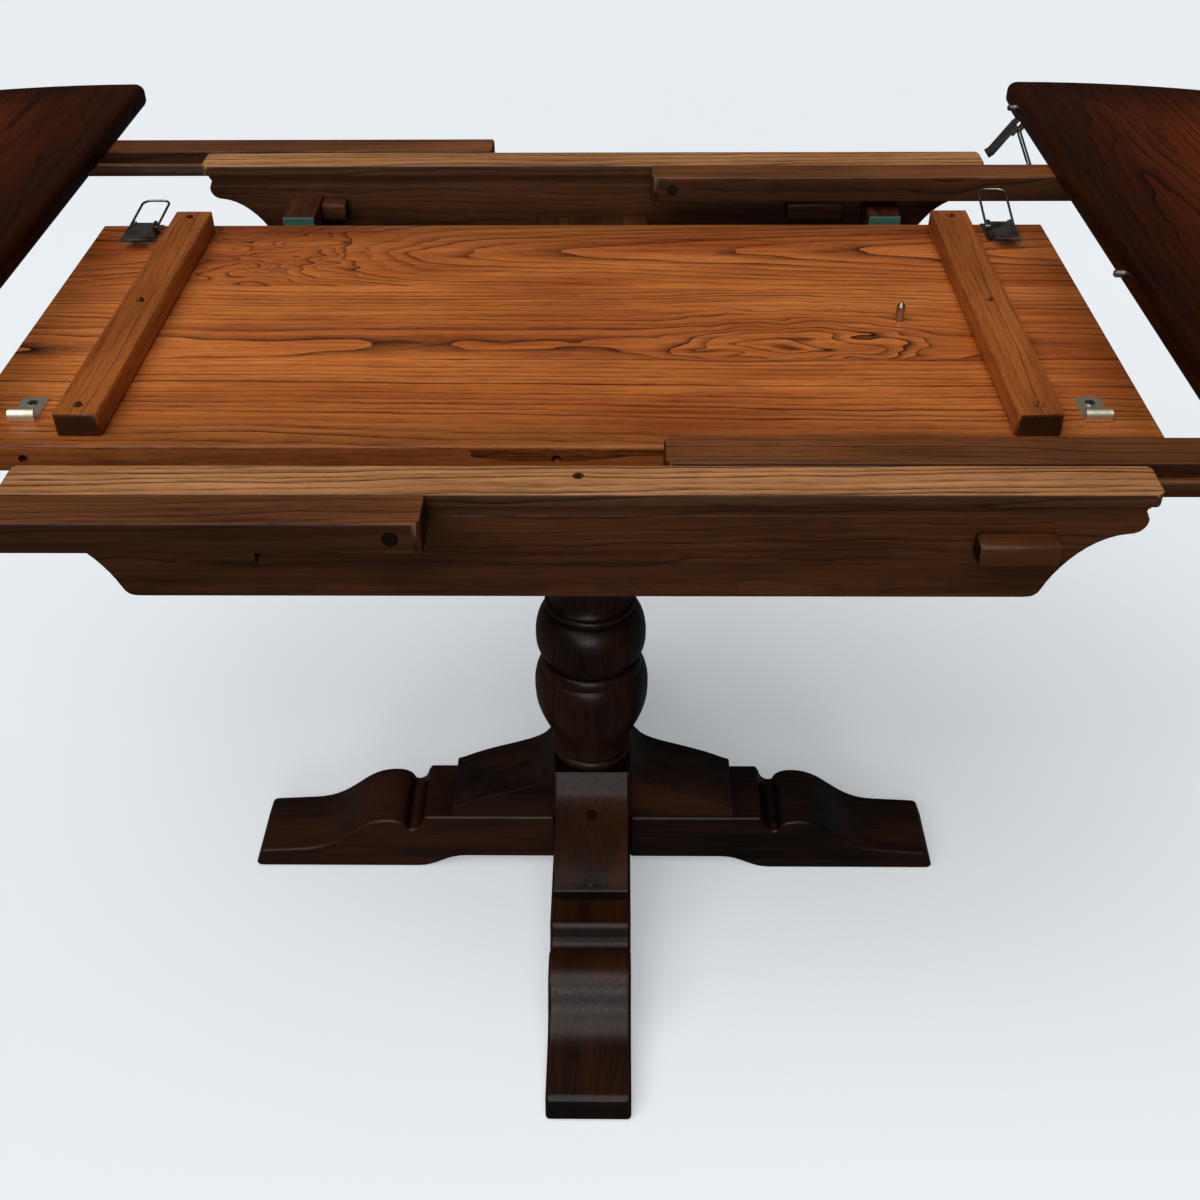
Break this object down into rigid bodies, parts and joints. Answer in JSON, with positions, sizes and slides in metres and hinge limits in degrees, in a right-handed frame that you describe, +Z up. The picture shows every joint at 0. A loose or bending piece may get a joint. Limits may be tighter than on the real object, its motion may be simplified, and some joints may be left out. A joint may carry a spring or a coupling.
{
  "type": "extending pedestal table",
  "caption": "Oval draw-apart oak pedestal table, its two half tops pulled open over a spare leaf stored upside down between the rails.",
  "frame": {"origin": "on the floor, under the middle of the whole table as it is drawn open; the turned post's axis is 22 mm from it, towards +X", "axes": "+X along the draw towards the right top, +Y across the table away from the viewer, +Z up"},
  "size_m": [2.184, 0.954, 0.75],
  "materials": {
    "base_oak": "near-black brown stained oak, satin",
    "top_oak": "very dark brown stained oak, satin polish",
    "rail_oak": "dark brown stained oak, satin",
    "strip_oak": "light golden oak, worn satin",
    "leaf_oak": "orange-brown oak, satin polish",
    "felt": "green felt",
    "nickel_plate": "worn nickel plate",
    "dark_steel": "darkened bright steel"
  },
  "bodies": {
    "base_frame": {"post": "base_oak", "foot_left": "base_oak", "foot_right": "base_oak", "foot_front": "base_oak", "foot_back": "base_oak", "bracket_left": "base_oak", "bracket_right": "base_oak", "bracket_front": "base_oak", "bracket_back": "base_oak", "bracket_plugs": "base_oak", "head_beam": "rail_oak", "bearer_left": "rail_oak", "bearer_right": "rail_oak", "rail_front": "rail_oak", "rail_back": "rail_oak", "strip_front": "strip_oak", "strip_back": "strip_oak", "outer_stops_front": "rail_oak", "outer_stops_back": "rail_oak", "inner_stops_front": "rail_oak", "inner_stops_back": "rail_oak", "guides_left": "rail_oak", "guides_right": "rail_oak", "guide_screws": "dark_steel", "felt_pads": "felt"},
    "left_top": {"top_left": "top_oak", "outer_runner_front": "rail_oak", "outer_runner_back": "rail_oak", "outer_pegs": "base_oak", "top_striker_front": "nickel_plate", "top_striker_back": "nickel_plate", "top_striker_screws": "dark_steel"},
    "right_top": {"top_right": "top_oak", "inner_runner_front": "rail_oak", "inner_runner_back": "rail_oak", "inner_pegs": "base_oak", "top_dowels": "dark_steel", "top_latch_front": "dark_steel", "top_latch_back": "dark_steel", "top_latch_pins": "dark_steel", "top_latch_screws": "dark_steel"},
    "spare_leaf": {"leaf_panel": "leaf_oak", "cleat_left": "leaf_oak", "cleat_right": "leaf_oak", "cleat_screws": "dark_steel", "locating_pin": "dark_steel", "leaf_dowels": "dark_steel", "leaf_striker_left": "nickel_plate", "leaf_striker_right": "nickel_plate", "leaf_latch_left": "dark_steel", "leaf_latch_right": "dark_steel", "leaf_fittings": "dark_steel"},
    "top_lever_front": {"top_lever_front": "dark_steel"},
    "top_lever_back": {"top_lever_back": "dark_steel"},
    "top_loop_front": {"top_loop_front": "dark_steel"},
    "top_loop_back": {"top_loop_back": "dark_steel"},
    "leaf_lever_left": {"leaf_lever_left": "dark_steel"},
    "leaf_lever_right": {"leaf_lever_right": "dark_steel"},
    "leaf_loop_left": {"leaf_loop_left": "dark_steel"},
    "leaf_loop_right": {"leaf_loop_right": "dark_steel"}
  },
  "joints": [
    {"name": "left_top_slide", "type": "slide", "parent": "base_frame", "child": "left_top", "axis": [1, 0, 0], "range_m": [0, 0.5137]},
    {"name": "right_top_slide", "type": "slide", "parent": "base_frame", "child": "right_top", "axis": [-1, 0, 0], "range_m": [0, 0.4697]},
    {"name": "leaf_lift", "type": "slide", "parent": "base_frame", "child": "spare_leaf", "axis": [0, 0, -1], "range_m": [-0.15, 0]},
    {"name": "leaf_lever_left_hinge", "type": "hinge", "parent": "spare_leaf", "child": "leaf_lever_left", "pos_m": [-0.428, 0.1985, 0.699], "axis": [1, 0, 0], "range_deg": [-150, 0]},
    {"name": "leaf_loop_left_hinge", "type": "hinge", "parent": "leaf_lever_left", "child": "leaf_loop_left", "pos_m": [-0.428, 0.1915, 0.699], "axis": [1, 0, 0], "range_deg": [0, 270]},
    {"name": "leaf_lever_right_hinge", "type": "hinge", "parent": "spare_leaf", "child": "leaf_lever_right", "pos_m": [0.432, 0.1985, 0.699], "axis": [1, 0, 0], "range_deg": [-150, 0]},
    {"name": "leaf_loop_right_hinge", "type": "hinge", "parent": "leaf_lever_right", "child": "leaf_loop_right", "pos_m": [0.432, 0.1915, 0.699], "axis": [1, 0, 0], "range_deg": [0, 270]},
    {"name": "top_lever_front_hinge", "type": "hinge", "parent": "right_top", "child": "top_lever_front", "pos_m": [0.504, -0.43, 0.72], "axis": [0, 1, 0], "range_deg": [-125, 15]},
    {"name": "top_loop_front_hinge", "type": "hinge", "parent": "top_lever_front", "child": "top_loop_front", "pos_m": [0.49999, -0.43, 0.71427], "axis": [0, 1, 0], "range_deg": [-27, 225]},
    {"name": "top_lever_back_hinge", "type": "hinge", "parent": "right_top", "child": "top_lever_back", "pos_m": [0.504, 0.43, 0.72], "axis": [0, 1, 0], "range_deg": [-125, 15]},
    {"name": "top_loop_back_hinge", "type": "hinge", "parent": "top_lever_back", "child": "top_loop_back", "pos_m": [0.49999, 0.43, 0.71427], "axis": [0, 1, 0], "range_deg": [-27, 225]}
  ],
  "couplings": [
    {"joint": "leaf_loop_left_hinge", "follows": "leaf_lever_left_hinge", "ratio": -1.8},
    {"joint": "leaf_loop_right_hinge", "follows": "leaf_lever_right_hinge", "ratio": -1.8},
    {"joint": "top_loop_front_hinge", "follows": "top_lever_front_hinge", "ratio": -1.8},
    {"joint": "top_loop_back_hinge", "follows": "top_lever_back_hinge", "ratio": -1.8}
  ]
}
